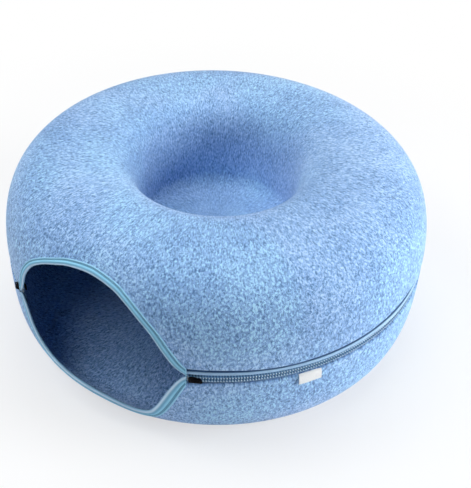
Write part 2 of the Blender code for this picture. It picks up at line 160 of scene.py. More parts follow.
def mouth_surface(x, y, proud=0.0):
    """The felt's outside at x, y, seen square on to the mouth: the place, raised by proud, and the way outward."""
    radius = outer_radius(y)
    depth = math.sqrt(radius ** 2 - x ** 2)
    normal = Vector((x / radius, -outer_slope(y), depth / radius)).normalized()
    return MOUTH_FRAME @ (Vector((x, y, depth)) + normal * proud), MOUTH_FRAME.to_3x3() @ normal


def smooth_line(knots, per_share):
    """A rounded line through the knots, with per_share points from each to the next."""
    padded = [2 * knots[0] - knots[1]] + knots + [2 * knots[-1] - knots[-2]]
    points = []
    for before, here, after, beyond in zip(padded, padded[1:], padded[2:], padded[3:]):
        for index in range(per_share):
            t = index / per_share
            bend = (2 * before - 5 * here + 4 * after - beyond) * t * t
            swing = (3 * here - before - 3 * after + beyond) * t ** 3
            points.append(here + ((after - before) * t + bend + swing) / 2)
    return points + [knots[-1]]


def even_line(points, step):
    """The same line with points a step apart."""
    lengths = [0.0]
    for here, there in zip(points, points[1:]):
        lengths.append(lengths[-1] + (there - here).length)
    count = max(round(lengths[-1] / step), 2)
    evened = []
    place = 0
    for index in range(count + 1):
        wanted = lengths[-1] * index / count
        while place < len(points) - 2 and lengths[place + 1] < wanted:
            place += 1
        span = max(lengths[place + 1] - lengths[place], 1e-9)
        evened.append(points[place].lerp(points[place + 1], min((wanted - lengths[place]) / span, 1)))
    return evened


def held(value):
    """The value, held between 0 and 1."""
    return min(max(value, 0), 1)


def soft(share):
    """A share from 0 to 1, eased at both ends."""
    return share * share * (3 - 2 * share)


def corner_raise(x):
    """How far both lips turn up where they meet at the right-hand corner of the mouth."""
    start, reach, height = 0.78, 0.22, 0.0043
    return height * soft(held((x / MOUTH_HALF_WIDTH - start) / reach))


def lip_line(half, step):
    """The mouth's edge along the lip of one half, and the way from the mouth at each of its points, in x and y."""
    knots = [Vector((x * MOUTH_HALF_WIDTH, y * half["rise"])) for x, y in half["lip"]]
    line = even_line(smooth_line(knots, 8), step)
    ways = []
    for index in range(len(line)):
        run = (line[min(index + 2, len(line) - 1)] - line[max(index - 2, 0)]).normalized()
        ways.append(Vector((-run.y, run.x * half["lean"] * half["sign"])))
    return [Vector((point.x, point.y * half["sign"] + corner_raise(point.x))) for point in line], ways


def eased(table, value):
    """A value between the table's entries, eased from each to the next."""
    for (low, first), (high, second) in zip(table, table[1:]):
        if value <= high:
            return first + (second - first) * soft(held((value - low) / (high - low)))
    return table[-1][1]


# ---------------------------------------------------------------- making pieces

def pick(thing):
    bpy.ops.object.select_all(action="DESELECT")
    thing.select_set(True)
    bpy.context.view_layer.objects.active = thing


def edit(thing):
    pick(thing)
    bpy.ops.object.mode_set(mode="EDIT")
    bpy.ops.mesh.select_all(action="SELECT")


def leave():
    bpy.ops.object.mode_set(mode="OBJECT")
    return bpy.context.object


def fresh(name):
    """The piece just made, under its name and with no material."""
    thing = bpy.context.object
    thing.name = name
    thing.data.name = name
    thing.data.materials.clear()
    return thing


def drawn_line(name, points):
    """A line of edges: one corner of a small square, extruded from point to point."""
    bpy.ops.object.select_all(action="DESELECT")
    bpy.ops.mesh.primitive_plane_add(size=MM)
    thing = fresh(name)
    edit(thing)
    bpy.ops.mesh.merge(type="CENTER")
    bpy.ops.transform.translate(value=points[0])
    for here, there in zip(points, points[1:]):
        bpy.ops.mesh.extrude_region_move(TRANSFORM_OT_translate={"value": there - here})
    return leave()


def filled(thing):
    """Closes a flat drawn line into one face."""
    edit(thing)
    bpy.ops.mesh.edge_face_add()
    return leave()


def thickened(thing, move):
    """Extrudes a flat face into a solid."""
    edit(thing)
    bpy.ops.mesh.extrude_region_move(TRANSFORM_OT_translate={"value": move})
    bpy.ops.mesh.select_all(action="SELECT")
    bpy.ops.mesh.normals_make_consistent(inside=False)
    return leave()


def spun(thing, steps):
    """Turns a line once about the ring's axis, and closes the seam and the poles."""
    edit(thing)
    bpy.ops.mesh.spin(steps=steps, angle=math.radians(360), center=(0, 0, 0), axis=(0, 0, 1))
    bpy.ops.mesh.select_all(action="SELECT")
    bpy.ops.mesh.remove_doubles(threshold=0.00001)
    bpy.ops.mesh.normals_make_consistent(inside=False)
    return leave()


def finish_with(thing, kind, **settings):
    """Adds a modifier and applies it."""
    pick(thing)
    modifier = thing.modifiers.new(kind.lower(), kind)
    for name, value in settings.items():
        setattr(modifier, name, value)
    bpy.ops.object.modifier_apply(modifier=modifier.name)
    return thing


def carve(thing, cutter):
    finish_with(thing, "BOOLEAN", object=cutter, operation="DIFFERENCE", solver="EXACT")
    bpy.data.objects.remove(cutter)


def joined(name, things):
    bpy.ops.object.select_all(action="DESELECT")
    for thing in things:
        thing.select_set(True)
    bpy.context.view_layer.objects.active = things[0]
    if len(things) > 1:
        bpy.ops.object.join()
    return fresh(name)


def settled(thing, place=None):
    """Puts the place into the mesh, so that the object itself stays at the origin."""
    if place is not None:
        thing.matrix_world = place
    pick(thing)
    bpy.ops.object.transform_apply(location=True, rotation=True, scale=True)
    return thing


def smoothed(thing, angle):
    pick(thing)
    bpy.ops.object.shade_smooth_by_angle(angle=math.radians(angle))
    return thing


def dressed(thing, material, body):
    thing.data.materials.clear()
    thing.data.materials.append(material)
    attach(thing, body)


def cloth_strip(name, columns, rows, place):
    """A grid with each point at place(along, across), both from 0 to 1, and the same run in its UV map."""
    bpy.ops.object.select_all(action="DESELECT")
    bpy.ops.mesh.primitive_grid_add(x_subdivisions=columns, y_subdivisions=rows, size=1)
    thing = fresh(name)
    mesh = thing.data
    runs = [(vertex.co.x + 0.5, vertex.co.y + 0.5) for vertex in mesh.vertices]
    for vertex, (along, across) in zip(mesh.vertices, runs):
        vertex.co = place(along, across)
    chart = mesh.uv_layers.active.data
    for corner in mesh.loops:
        chart[corner.index].uv = runs[corner.vertex_index]
    return thing


def one_way_round(thing):
    """Turns all faces of a strip to the same side."""
    edit(thing)
    bpy.ops.mesh.normals_make_consistent(inside=False)
    return leave()


def rod(name, places, radius, roundness):
    """A rod along a run of places, with closed ends."""
    bpy.ops.object.select_all(action="DESELECT")
    bpy.ops.curve.primitive_nurbs_path_add()
    thing = bpy.context.object
    thing.data.splines.clear()
    spline = thing.data.splines.new("POLY")
    spline.points.add(len(places) - 1)
    for point, place in zip(spline.points, places):
        point.co = (*place, 1)
    thing.data.bevel_depth = radius
    thing.data.bevel_resolution = roundness
    thing.data.use_fill_caps = True
    thing.location = (0, 0, 0)
    bpy.ops.object.convert(target="MESH")
    return fresh(name)


def round_the_rim(thing, pitch, count):
    """Copies a piece round the ring's axis, count times, pitch degrees apart."""
    step = bpy.data.objects.new("step", None)
    bpy.context.scene.collection.objects.link(step)
    step.rotation_euler.z = math.radians(pitch)
    bpy.context.view_layer.update()
    finish_with(thing, "ARRAY", count=count, use_relative_offset=False, use_object_offset=True, offset_object=step)
    bpy.data.objects.remove(step)
    return thing


# ---------------------------------------------------------------- finishes

def node(tree, kind, inputs=None, **settings):
    made = tree.nodes.new(kind)
    for name, value in settings.items():
        setattr(made, name, value)
    for socket, value in (inputs or {}).items():
        if isinstance(value, bpy.types.NodeSocket):
            tree.links.new(value, made.inputs[socket])
        else:
            made.inputs[socket].default_value = value
    return made


def maths(tree, operation, first, second=0.0):
    return node(tree, "ShaderNodeMath", {0: first, 1: second}, operation=operation).outputs[0]


def ranged(tree, value, low, high, to_low=0.0, to_high=1.0):
    inputs = {0: value, 1: low, 2: high, 3: to_low, 4: to_high}
    return node(tree, "ShaderNodeMapRange", inputs, interpolation_type="SMOOTHSTEP").outputs[0]


def mixed(tree, share, first, second, blend="MIX"):
    inputs = {0: share, 6: first, 7: second}
    return node(tree, "ShaderNodeMix", inputs, data_type="RGBA", blend_type=blend).outputs[2]


def noise(tree, vector, scale, detail=2.0, rough=0.5, swirl=0.0):
    inputs = {"Vector": vector, "Scale": scale, "Detail": detail, "Roughness": rough, "Distortion": swirl}
    return node(tree, "ShaderNodeTexNoise", inputs).outputs["Fac"]


def colour(red, green, blue):
    return (red, green, blue, 1.0)


def effect(name, ins, outs):
    """A shader node group with its sockets."""
    tree = bpy.data.node_groups.new(name, "ShaderNodeTree")
    for socket, kind, value in ins:
        made = tree.interface.new_socket(name=socket, in_out="INPUT", socket_type=kind)
        made.default_value = value
    for socket, kind in outs:
        tree.interface.new_socket(name=socket, in_out="OUTPUT", socket_type=kind)
    return tree, tree.nodes.new("NodeGroupInput").outputs, tree.nodes.new("NodeGroupOutput").inputs


FLOAT, COLOUR, VECTOR = "NodeSocketFloat", "NodeSocketColor", "NodeSocketVector"


def from_axis(tree, object_place):
    """The parts of a place, the same place level with the origin, and its distance from the ring's axis."""
    parts = node(tree, "ShaderNodeSeparateXYZ", {0: object_place}).outputs
    flat = node(tree, "ShaderNodeCombineXYZ", {0: parts[0], 1: parts[1]}).outputs[0]
    radius = node(tree, "ShaderNodeVectorMath", {0: flat}, operation="LENGTH").outputs["Value"]
    return parts, flat, radius


def felt_run():
    """A place on the felt as it was drawn over its mould: round the ring, and along the way over wall and crest."""
    # The outer and the inner run meet on the crest
    crest, meeting, middle = 0.150, 0.47, 0.21
    tree, ins, outs = effect("felt_run", (("Draw", FLOAT, 0.4),), (("Place", VECTOR), ("Object Place", VECTOR)))
    object_place = node(tree, "ShaderNodeTexCoord").outputs["Object"]
    parts, flat, radius = from_axis(tree, object_place)
    way = node(tree, "ShaderNodeVectorMath", {0: flat}, operation="NORMALIZE").outputs[0]
    height = maths(tree, "SUBTRACT", parts[2], SEAM)
    outer = maths(tree, "ADD", maths(tree, "ABSOLUTE", height), maths(tree, "SUBTRACT", RIM, radius))
    inner = maths(tree, "SUBTRACT", meeting, maths(tree, "ADD", maths(tree, "ABSOLUTE", height), radius))
    inside = maths(tree, "LESS_THAN", radius, crest)
    run = node(tree, "ShaderNodeMix", {0: inside, 2: outer, 3: inner}).outputs[0]
    signed = maths(tree, "MULTIPLY", run, maths(tree, "SIGN", height))
    along = node(tree, "ShaderNodeCombineXYZ", {2: maths(tree, "MULTIPLY", signed, ins["Draw"])}).outputs[0]
    around = node(tree, "ShaderNodeVectorMath", {0: way, 3: middle}, operation="SCALE").outputs[0]
    place = node(tree, "ShaderNodeVectorMath", {0: around, 1: along}, operation="ADD").outputs[0]
    tree.links.new(place, outs["Place"])
    tree.links.new(object_place, outs["Object Place"])
    return tree


def felt_fibres():
    """Heathered needle felt: short fibres drawn out along the mould, pale and dark ones on top, in uneven tints."""
    tree, ins, outs = effect(
        "felt_fibres",
        (("Pale", COLOUR, colour(0.6, 0.75, 0.95)), ("Cool", COLOUR, colour(0.5, 0.8, 0.95)),
         ("Middle", COLOUR, colour(0.3, 0.45, 0.8)), ("Dark", COLOUR, colour(0.1, 0.2, 0.5))),
        (("Colour", COLOUR), ("Height", FLOAT)),
    )
    run = node(tree, "ShaderNodeGroup", {"Draw": 0.5}, node_tree=felt_run()).outputs
    place = run["Place"]
    apart = node(tree, "ShaderNodeVectorMath", {0: place, 1: (3.1, 1.7, 0.4)}, operation="ADD").outputs[0]
    matting = noise(tree, place, 490.0, 3.0, 0.62, 0.6)
    tufts = noise(tree, apart, 230.0, 2.0, 0.6, 0.8)
    broad = noise(tree, run["Object Place"], 13.0, 2.0, 0.5, 0.3)
    tints = noise(tree, run["Object Place"], 8.0, 1.0, 0.5, 0.4)
    pale_strand = maths(tree, "ABSOLUTE", maths(tree, "SUBTRACT", noise(tree, apart, 280.0, 1.5, 0.5, 1.0), 0.5))
    dark_strand = maths(tree, "ABSOLUTE", maths(tree, "SUBTRACT", noise(tree, place, 260.0, 1.5, 0.5, 1.0), 0.46))
    pale_share = maths(tree, "MULTIPLY", ranged(tree, pale_strand, 0.030, 0.004), ranged(tree, tufts, 0.42, 0.6))
    dark_share = maths(tree, "MULTIPLY", ranged(tree, dark_strand, 0.030, 0.004), ranged(tree, tufts, 0.58, 0.42))
    tone = maths(tree, "ADD", matting, maths(tree, "MULTIPLY", maths(tree, "SUBTRACT", broad, 0.5), 0.18))
    pale = mixed(tree, ranged(tree, tints, 0.40, 0.60), ins["Pale"], ins["Cool"])
    low = mixed(tree, ranged(tree, tone, 0.34, 0.5), ins["Dark"], ins["Middle"])
    base = mixed(tree, ranged(tree, tone, 0.5, 0.63), low, pale)
    base = mixed(tree, maths(tree, "MULTIPLY", pale_share, 0.7), base, pale)
    base = mixed(tree, maths(tree, "MULTIPLY", dark_share, 0.6), base, ins["Dark"])
    strands = maths(tree, "SUBTRACT", pale_share, dark_share)
    height = maths(tree, "ADD", matting, maths(tree, "MULTIPLY", strands, 0.25))
    tree.links.new(base, outs["Colour"])
    tree.links.new(height, outs["Height"])
    return tree


def woven():
    """Herringbone weave on a place given in metres: along the cloth, across it."""
    tree, ins, outs = effect(
        "woven_cloth",
        (("Place", VECTOR, (0, 0, 0)), ("Thread", FLOAT, 0.0007), ("Rib", FLOAT, 0.004),
         ("Light", COLOUR, colour(0.5, 0.7, 0.8)), ("Shade", COLOUR, colour(0.2, 0.4, 0.5))),
        (("Colour", COLOUR), ("Height", FLOAT)),
    )
    parts = node(tree, "ShaderNodeSeparateXYZ", {0: ins["Place"]}).outputs
    zigzag = node(tree, "ShaderNodeMath", {0: parts[1], 1: ins["Rib"]}, operation="PINGPONG").outputs[0]
    slanted = maths(tree, "ADD", parts[0], zigzag)
    turns = maths(tree, "MULTIPLY", maths(tree, "DIVIDE", slanted, ins["Thread"]), math.pi)
    cross = maths(tree, "MULTIPLY", maths(tree, "DIVIDE", parts[1], ins["Thread"]), math.pi)
    yarn = maths(tree, "ABSOLUTE", maths(tree, "SINE", turns))
    over = maths(tree, "ABSOLUTE", maths(tree, "SINE", cross))
    weave = maths(tree, "MULTIPLY", yarn, maths(tree, "ADD", maths(tree, "MULTIPLY", over, 0.5), 0.5))
    uneven = noise(tree, ins["Place"], 260.0, 3.0, 0.6, 0.4)
    share = maths(tree, "ADD", maths(tree, "MULTIPLY", weave, 0.6), maths(tree, "MULTIPLY", uneven, 0.5))
    tree.links.new(mixed(tree, share, ins["Shade"], ins["Light"]), outs["Colour"])
    tree.links.new(maths(tree, "ADD", weave, maths(tree, "MULTIPLY", uneven, 0.4)), outs["Height"])
    return tree


def rim_run():
    """A place round the rim as cloth runs: metres along the rim and up."""
    cloth_radius = 0.247
    tree, ins, outs = effect("rim_run", (), (("Place", VECTOR),))
    object_place = node(tree, "ShaderNodeTexCoord").outputs["Object"]
    parts = node(tree, "ShaderNodeSeparateXYZ", {0: object_place}).outputs
    along = maths(tree, "MULTIPLY", maths(tree, "ARCTAN2", parts[1], parts[0]), cloth_radius)
    tree.links.new(node(tree, "ShaderNodeCombineXYZ", {0: along, 1: parts[2]}).outputs[0], outs["Place"])
    return tree


def worn_finish():
    """Fine grain and small scuffs for moulded plastic and painted metal."""
    tree, ins, outs = effect(
        "worn_finish",
        (("Colour", COLOUR, colour(0.1, 0.1, 0.1)), ("Scuff", COLOUR, colour(0.2, 0.2, 0.2)),
         ("Rough", FLOAT, 0.4), ("Grain", FLOAT, 900.0)),
        (("Colour", COLOUR), ("Roughness", FLOAT), ("Height", FLOAT)),
    )
    place = node(tree, "ShaderNodeTexCoord").outputs["Object"]
    grain = noise(tree, place, ins["Grain"], 3.0, 0.6)
    scuffs = ranged(tree, noise(tree, place, 420.0, 4.0, 0.7, 0.5), 0.6, 0.72)
    tree.links.new(mixed(tree, scuffs, ins["Colour"], ins["Scuff"]), outs["Colour"])
    rough = maths(tree, "ADD", ins["Rough"], maths(tree, "MULTIPLY", maths(tree, "SUBTRACT", grain, 0.5), 0.3))
    tree.links.new(maths(tree, "ADD", rough, maths(tree, "MULTIPLY", scuffs, 0.2)), outs["Roughness"])
    tree.links.new(grain, outs["Height"])
    return tree


FELT_FIBRES = felt_fibres()
WOVEN = woven()
RIM_RUN = rim_run()
WORN = worn_finish()


def finish(name, **sockets):
    """A material, its shader and its tree. Underscores in socket names stand for spaces."""
    made = bpy.data.materials.new(name)
    made.use_nodes = True
    tree = made.node_tree
    shader = tree.nodes["Principled BSDF"]
    for socket, value in sockets.items():
        shader.inputs[socket.replace("_", " ")].default_value = value
    return made, tree, shader


def bumped(tree, shader, height, strength, distance):
    inputs = {"Height": height, "Strength": strength, "Distance": distance}
    tree.links.new(node(tree, "ShaderNodeBump", inputs).outputs[0], shader.inputs["Normal"])


def felt_finish(name, pale, cool, middle, dark):
    made, tree, shader = finish(
        name, Roughness=0.92, Sheen_Weight=0.3, Sheen_Roughness=0.5, Sheen_Tint=colour(0.88, 0.92, 1.0),
        Specular_IOR_Level=0.2,
    )
    inputs = {"Pale": pale, "Cool": cool, "Middle": middle, "Dark": dark}
    fibres = node(tree, "ShaderNodeGroup", inputs, node_tree=FELT_FIBRES).outputs
    tree.links.new(fibres["Colour"], shader.inputs["Base Color"])
    bumped(tree, shader, fibres["Height"], 0.6, 0.0012)
    return made


def cloth_finish(name, light, shade, thread, rib, size=None, rough=0.75, sheen=0.25, painted_light=()):
    """Woven cloth. With a size, its place is read from the UV map times that size in metres.

    Painted light and shade tint it across its width, by the points of its section.
    """
    made, tree, shader = finish(name, Roughness=rough, Sheen_Weight=sheen, Specular_IOR_Level=0.3)
    chart = node(tree, "ShaderNodeTexCoord").outputs["UV"]
    if size:
        place = node(tree, "ShaderNodeMapping", {"Vector": chart, "Scale": (size[0], size[1], 1)}).outputs[0]
    else:
        place = node(tree, "ShaderNodeGroup", node_tree=RIM_RUN).outputs[0]
    inputs = {"Place": place, "Thread": thread, "Rib": rib, "Light": light, "Shade": shade}
    cloth = node(tree, "ShaderNodeGroup", inputs, node_tree=WOVEN).outputs
    base = cloth["Colour"]
    if painted_light:
        # Painted shade and highlight across the cloth's width, multiplied onto the weave
        across = node(tree, "ShaderNodeSeparateXYZ", {0: chart}).outputs[1]
        ramp = node(tree, "ShaderNodeValToRGB", {0: across})
        stops = ramp.color_ramp.elements
        while len(stops) < len(painted_light):
            stops.new(0.5)
        for stop, (point, tint) in zip(stops, painted_light):
            stop.position = point / painted_light[-1][0]
            stop.color = colour(*tint)
        base = mixed(tree, 1.0, base, ramp.outputs[0], "MULTIPLY")
    tree.links.new(base, shader.inputs["Base Color"])
    bumped(tree, shader, cloth["Height"], 0.5, 0.0003)
    return made


# Distances from the axis between which the painted highlight on the chain's crests comes in
HIGHLIGHT_START = 0.2483
HIGHLIGHT_FULL = 0.24875


def hard_finish(name, base, scuff, rough, grain, crest=None, **sockets):
    """Moulded plastic or painted metal. With a crest colour, a painted highlight of that colour lies on the outermost
    parts of the chain.
    """
    made, tree, shader = finish(name, **sockets)
    inputs = {"Colour": base, "Scuff": scuff, "Rough": rough, "Grain": grain}
    worn = node(tree, "ShaderNodeGroup", inputs, node_tree=WORN).outputs
    surface = worn["Colour"]
    if crest:
        # A painted highlight on the outermost parts of the chain
        radius = from_axis(tree, node(tree, "ShaderNodeTexCoord").outputs["Object"])[2]
        surface = mixed(tree, ranged(tree, radius, HIGHLIGHT_START, HIGHLIGHT_FULL), surface, crest)
    tree.links.new(surface, shader.inputs["Base Color"])
    tree.links.new(worn["Roughness"], shader.inputs["Roughness"])
    bumped(tree, shader, worn["Height"], 0.15, 0.0002)
    return made


FELT_BLUE = felt_finish("heathered_felt", colour(0.50, 0.72, 1.0), colour(0.45, 0.77, 1.0), colour(0.255, 0.45, 0.79),
                        colour(0.085, 0.195, 0.42))
# The tape carries painted shade, and the binding painted shade and highlight, across their sections
TAPE_CLOTH = cloth_finish("zip_tape_cloth", colour(0.48, 0.70, 0.92), colour(0.30, 0.52, 0.78), 0.0008, 0.0032,
                          sheen=0.0, painted_light=TAPE_PAINTED_SHADE)
HINGE_CLOTH = cloth_finish("hinge_tape_cloth", colour(0.42, 0.66, 0.86), colour(0.16, 0.36, 0.58), 0.0008, 0.0032)
BINDING_CLOTH = cloth_finish("binding_cloth", colour(0.80, 0.89, 1.0), colour(0.60, 0.74, 0.93), 0.0008, 0.0024,
                             (0.30, 0.026), sheen=0.08, painted_light=BINDING_SHADE_AND_HIGHLIGHT)
# The coil's last colour is a painted highlight on the crests of its turns
COIL_NYLON = hard_finish(
    "coil_nylon", colour(0.15, 0.38, 0.64), colour(0.22, 0.46, 0.70), 0.3, 900.0, colour(0.75, 0.92, 1.0),
    Coat_Weight=0.15, Coat_Roughness=0.3)
THREAD = hard_finish("sewing_thread", colour(0.30, 0.52, 0.66), colour(0.5, 0.7, 0.8), 0.7, 2400.0)
SLIDER_PAINT = hard_finish(
    "slider_paint", colour(0.002, 0.002, 0.004), colour(0.012, 0.012, 0.016), 0.5, 1500.0, Specular_IOR_Level=0.05)
STOP_PLASTIC = hard_finish("stop_plastic", colour(0.62, 0.74, 0.80), colour(0.8, 0.86, 0.9), 0.4, 1200.0)
LABEL_SATIN = cloth_finish(
    "label_satin", colour(0.98, 0.99, 0.98), colour(0.86, 0.88, 0.89), 0.0003, 0.0010, (0.025, 0.0145), 0.5, 0.1)
PATCH_LOOPS = cloth_finish("patch_loops", colour(0.16, 0.27, 0.5), colour(0.04, 0.08, 0.2), 0.0016, 0.0016)


# ---------------------------------------------------------------- camera, floor and light

VIEW_HEIGHT = 38.98
VIEW_ROLL = 1.48
VIEW_DISTANCE = 1.075
LOOK_AT = Vector((0, 0, 0.0875))
# In pixels: the picture's width and middle, the camera's focal length and where its axis meets the picture
PICTURE_WIDTH = 471
PICTURE_MIDDLE = (235.5, 244.0)
FOCAL_LENGTH = 866.9
AXIS_PIXEL = (216.0, 235.0)
FLOOR_GLOW = 0.6
# Name, place, width and power
LAMPS = (
    ("key_light", (-1.3, 0.2, 1.6), 1.4, 17.5),
    ("front_light", (-0.9, -1.0, 1.3), 1.0, 5.5),
    ("side_light", (1.7, 0.0, 0.9), 1.2, 2.5),
    ("low_light", (1.8, -0.3, 0.5), 1.0, 34.0),
    ("top_light", (0.1, 0.3, 2.0), 1.4, 19.5),
)


def camera():
    rise = math.radians(VIEW_HEIGHT)
    back = Vector((0, -math.cos(rise), math.sin(rise)))
    level = Vector((1, 0, 0))
    upright = back.cross(level)
    roll = math.radians(VIEW_ROLL)
    right = level * math.cos(roll) + upright * math.sin(roll)
    turn = Matrix((right, back.cross(right), back)).transposed().to_4x4()
    lens = bpy.data.cameras.new("camera")
    lens.sensor_fit = "HORIZONTAL"
    lens.sensor_width = 36.0
    lens.lens = FOCAL_LENGTH / PICTURE_WIDTH * lens.sensor_width
    lens.shift_x = (PICTURE_MIDDLE[0] - AXIS_PIXEL[0]) / PICTURE_WIDTH
    lens.shift_y = (AXIS_PIXEL[1] - PICTURE_MIDDLE[1]) / PICTURE_WIDTH
    lens.clip_start = 0.05
    made = bpy.data.objects.new("camera", lens)
    bpy.context.scene.collection.objects.link(made)
    made.matrix_world = Matrix.Translation(LOOK_AT + back * VIEW_DISTANCE) @ turn
    bpy.context.scene.camera = made


def lamp(name, place, size, power):
    """A round lamp turned towards the ring."""
    light = bpy.data.lights.new(name, "AREA")
    light.shape = "DISK"
    light.size = size
    light.energy = power
    made = bpy.data.objects.new(name, light)
    bpy.context.scene.collection.objects.link(made)
    made.location = place
    made.rotation_euler = (Vector((0, 0, 0.1)) - Vector(place)).to_track_quat("-Z", "Y").to_euler()


def white_to_the_eye(tree):
    """1 for camera, glossy and see-through rays, which find the backdrop plain white."""
    rays = node(tree, "ShaderNodeLightPath").outputs
    seen = maths(tree, "MAXIMUM", rays["Is Camera Ray"], rays["Is Glossy Ray"])
    return maths(tree, "MAXIMUM", seen, rays["Is Transmission Ray"])


def studio():
    """A pale floor that reads as white further off, a world that is white to the eye, and five soft lamps."""
    bpy.ops.object.select_all(action="DESELECT")
    bpy.ops.mesh.primitive_plane_add(size=12)
    floor = fresh("studio_floor")
    made, tree, shader = finish(
        "studio_floor", Base_Color=colour(0.90, 0.91, 0.92), Roughness=0.9, Specular_IOR_Level=0.0)
    glow = node(tree, "ShaderNodeEmission", {"Color": colour(1, 1, 1), "Strength": 1.0}).outputs[0]
    place = node(tree, "ShaderNodeTexCoord").outputs["Object"]
    near = node(tree, "ShaderNodeVectorMath", {0: place}, operation="LENGTH").outputs["Value"]
    glowing = ranged(tree, near, 0.30, 0.75, FLOOR_GLOW, 1.0)
    share = maths(tree, "MULTIPLY", white_to_the_eye(tree), glowing)
    blend = node(tree, "ShaderNodeMixShader", {0: share, 1: shader.outputs[0], 2: glow}).outputs[0]
    tree.links.new(blend, tree.nodes["Material Output"].inputs["Surface"])
    floor.data.materials.append(made)
    world = bpy.data.worlds.new("studio")
    bpy.context.scene.world = world
    world.use_nodes = True
    tree = world.node_tree
    sky = tree.nodes["Background"]
    tint = mixed(tree, white_to_the_eye(tree), colour(0.015, 0.02, 0.03), colour(1, 1, 1))
    tree.links.new(tint, sky.inputs["Color"])
    sky.inputs["Strength"].default_value = 1.0
    for settings in LAMPS:
        lamp(*settings)
    bpy.context.scene.view_settings.view_transform = "Standard"


# ---------------------------------------------------------------- felt halves

CUTTER_NEAR = 0.17
CUTTER_FAR = 0.30
CUTTER_STEP = 0.003
MOUTH_GROWTH = 0.0015
EDGE_EASE = 0.026
OUTER_WALL = 0.22
PINCH = 0.0020
PINCH_REACH = 0.018
SKIN = 0.0005


def quarter(start, end, low, rise, power):
    """A quarter of a rounded curve, as (radius, height): up from the start radius, then level to the end radius."""
    count = 400
    points = []
    for index in range(count):
        turn = math.pi / 2 * index / (count - 1)
        across, up = math.cos(turn) ** (2 / power), math.sin(turn) ** (2 / power)
        points.append(Vector((end + (start - end) * across, low + rise * up)))
    return points


def felt_profile(half, sole_radius):
    """The outside of one half, from its felt edge by the zip to the ring's axis, as (radius, height from the seam)."""
    rim = quarter(RIM, half["crest"], 0, half["height"], half["power"])
    rim = [Vector((outer_radius(half["sign"] * half["edge"]), half["edge"]))] + [p for p in rim if p.y > half["edge"]]
    foot = FLOOR_LIFT + DIMPLE_FILLET
    wall = quarter(DIMPLE_FLOOR, sole_radius, foot, half["height"] - foot, DIMPLE_POWER)
    count = 30
    fillet = []
    for index in range(count):
        turn = math.pi / 2 * index / count
        inward = DIMPLE_FLOOR - DIMPLE_FILLET * (1 - math.sin(turn))
        fillet.append(Vector((inward, FLOOR_LIFT + DIMPLE_FILLET * (1 - math.cos(turn)))))
    crest = rim + [Vector((sole_radius, half["height"]))] if sole_radius < half["crest"] - MM else rim
    whole = crest + list(reversed(wall)) + list(reversed(fillet)) + [Vector((0, FLOOR_LIFT))]
    lines = [whole[0]]
    for point in whole[1:]:
        if (point - lines[-1]).length > 0.00001:
            lines.append(point)
    fine = even_line(lines, MM)
    by_the_edge = 16
    return fine[:by_the_edge] + fine[by_the_edge:-1:3] + [fine[-1]]


def inside_line(profile, depth):
    """The line a felt's thickness inside the profile."""
    line = []
    for index, point in enumerate(profile):
        run = profile[min(index + 1, len(profile) - 1)] - profile[max(index - 1, 0)]
        run.normalize()
        line.append(point + Vector((-run.y, run.x)) * depth)
    line[-1] = Vector((0, profile[-1].y - depth))
    return line


def mouth_cutter():
    """A solid through the wall at the mouth, grown a little so that the bindings cover the felt's cut edge."""
    upper, ways = lip_line(UPPER, CUTTER_STEP)
    above = [point + way * MOUTH_GROWTH for point, way in zip(upper, ways)]
    lower, ways = lip_line(LOWER, CUTTER_STEP)
    below = [point + way * MOUTH_GROWTH for point, way in zip(lower, ways)]
    outline = above + list(reversed(below))
    points = [MOUTH_FRAME @ Vector((point.x, point.y, CUTTER_NEAR)) for point in outline]
    face = filled(drawn_line("mouth_cutter", points))
    return thickened(face, outward(MOUTH_AZIMUTH) * (CUTTER_FAR - CUTTER_NEAR))


def draw_edge(shell, half):
    """Moves the felt's edge by the zip to its height at each azimuth, and eases the felt behind it."""
    for vertex in shell.data.vertices:
        height = (vertex.co.z - SEAM) * half["sign"]
        if height > half["edge"] + EDGE_EASE or math.hypot(vertex.co.x, vertex.co.y) < OUTER_WALL:
            continue
        azimuth = math.degrees(math.atan2(vertex.co.y, vertex.co.x)) % 360
        move = eased(FELT_EDGES[half["sign"]], azimuth) * MM - half["edge"]
        vertex.co.z += half["sign"] * move * soft(held(1 - (height - half["edge"]) / EDGE_EASE))


def press_lip(shell, half):
    """Presses the felt thinner from inside along the mouth's edge, where the binding pinches it."""
    line, _ = lip_line(half, CUTTER_STEP)
    back = MOUTH_FRAME.inverted()
    for vertex in shell.data.vertices:
        place = back @ vertex.co
        if place.z < CUTTER_NEAR:
            continue
        nearest = min((Vector((place.x, place.y)) - point).length for point in line)
        # A level step into the felt counts for less depth where its outside leans
        lean = 1 / math.sqrt(1 + outer_slope(place.y) ** 2)
        depth = (outer_radius(place.y) - math.hypot(place.x, place.z)) * lean
        if nearest < PINCH_REACH and depth > SKIN:
            pinch = PINCH * soft(1 - nearest / PINCH_REACH) * min(depth / FELT, 1)
            vertex.co += mouth_surface(place.x, place.y)[1] * pinch


def felt_half(name, half, sole_radius, body):
    """A closed felt wall: outside, a soft cut edge by the zip, and inside, turned and cut for the mouth."""
    outside = felt_profile(half, sole_radius)
    inside = inside_line(outside, FELT)
    rounding = 0.0012
    edge = []
    for turn in (150, 120, 90, 60, 30):
        swing = math.radians(turn)
        edge.append(outside[0] + Vector((FELT / 2 * (math.cos(swing) - 1), -rounding * math.sin(swing))))
    loop = list(reversed(inside)) + edge + outside
    points = [Vector((p.x, 0, SEAM + half["sign"] * p.y)) for p in loop]
    shell = spun(drawn_line(name, points), FELT_STEPS)
    draw_edge(shell, half)
    carve(shell, mouth_cutter())
    press_lip(shell, half)
    smoothed(shell, 50)
    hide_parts(name)
    dressed(shell, FELT_BLUE, body)


# ---------------------------------------------------------------- mouth bindings

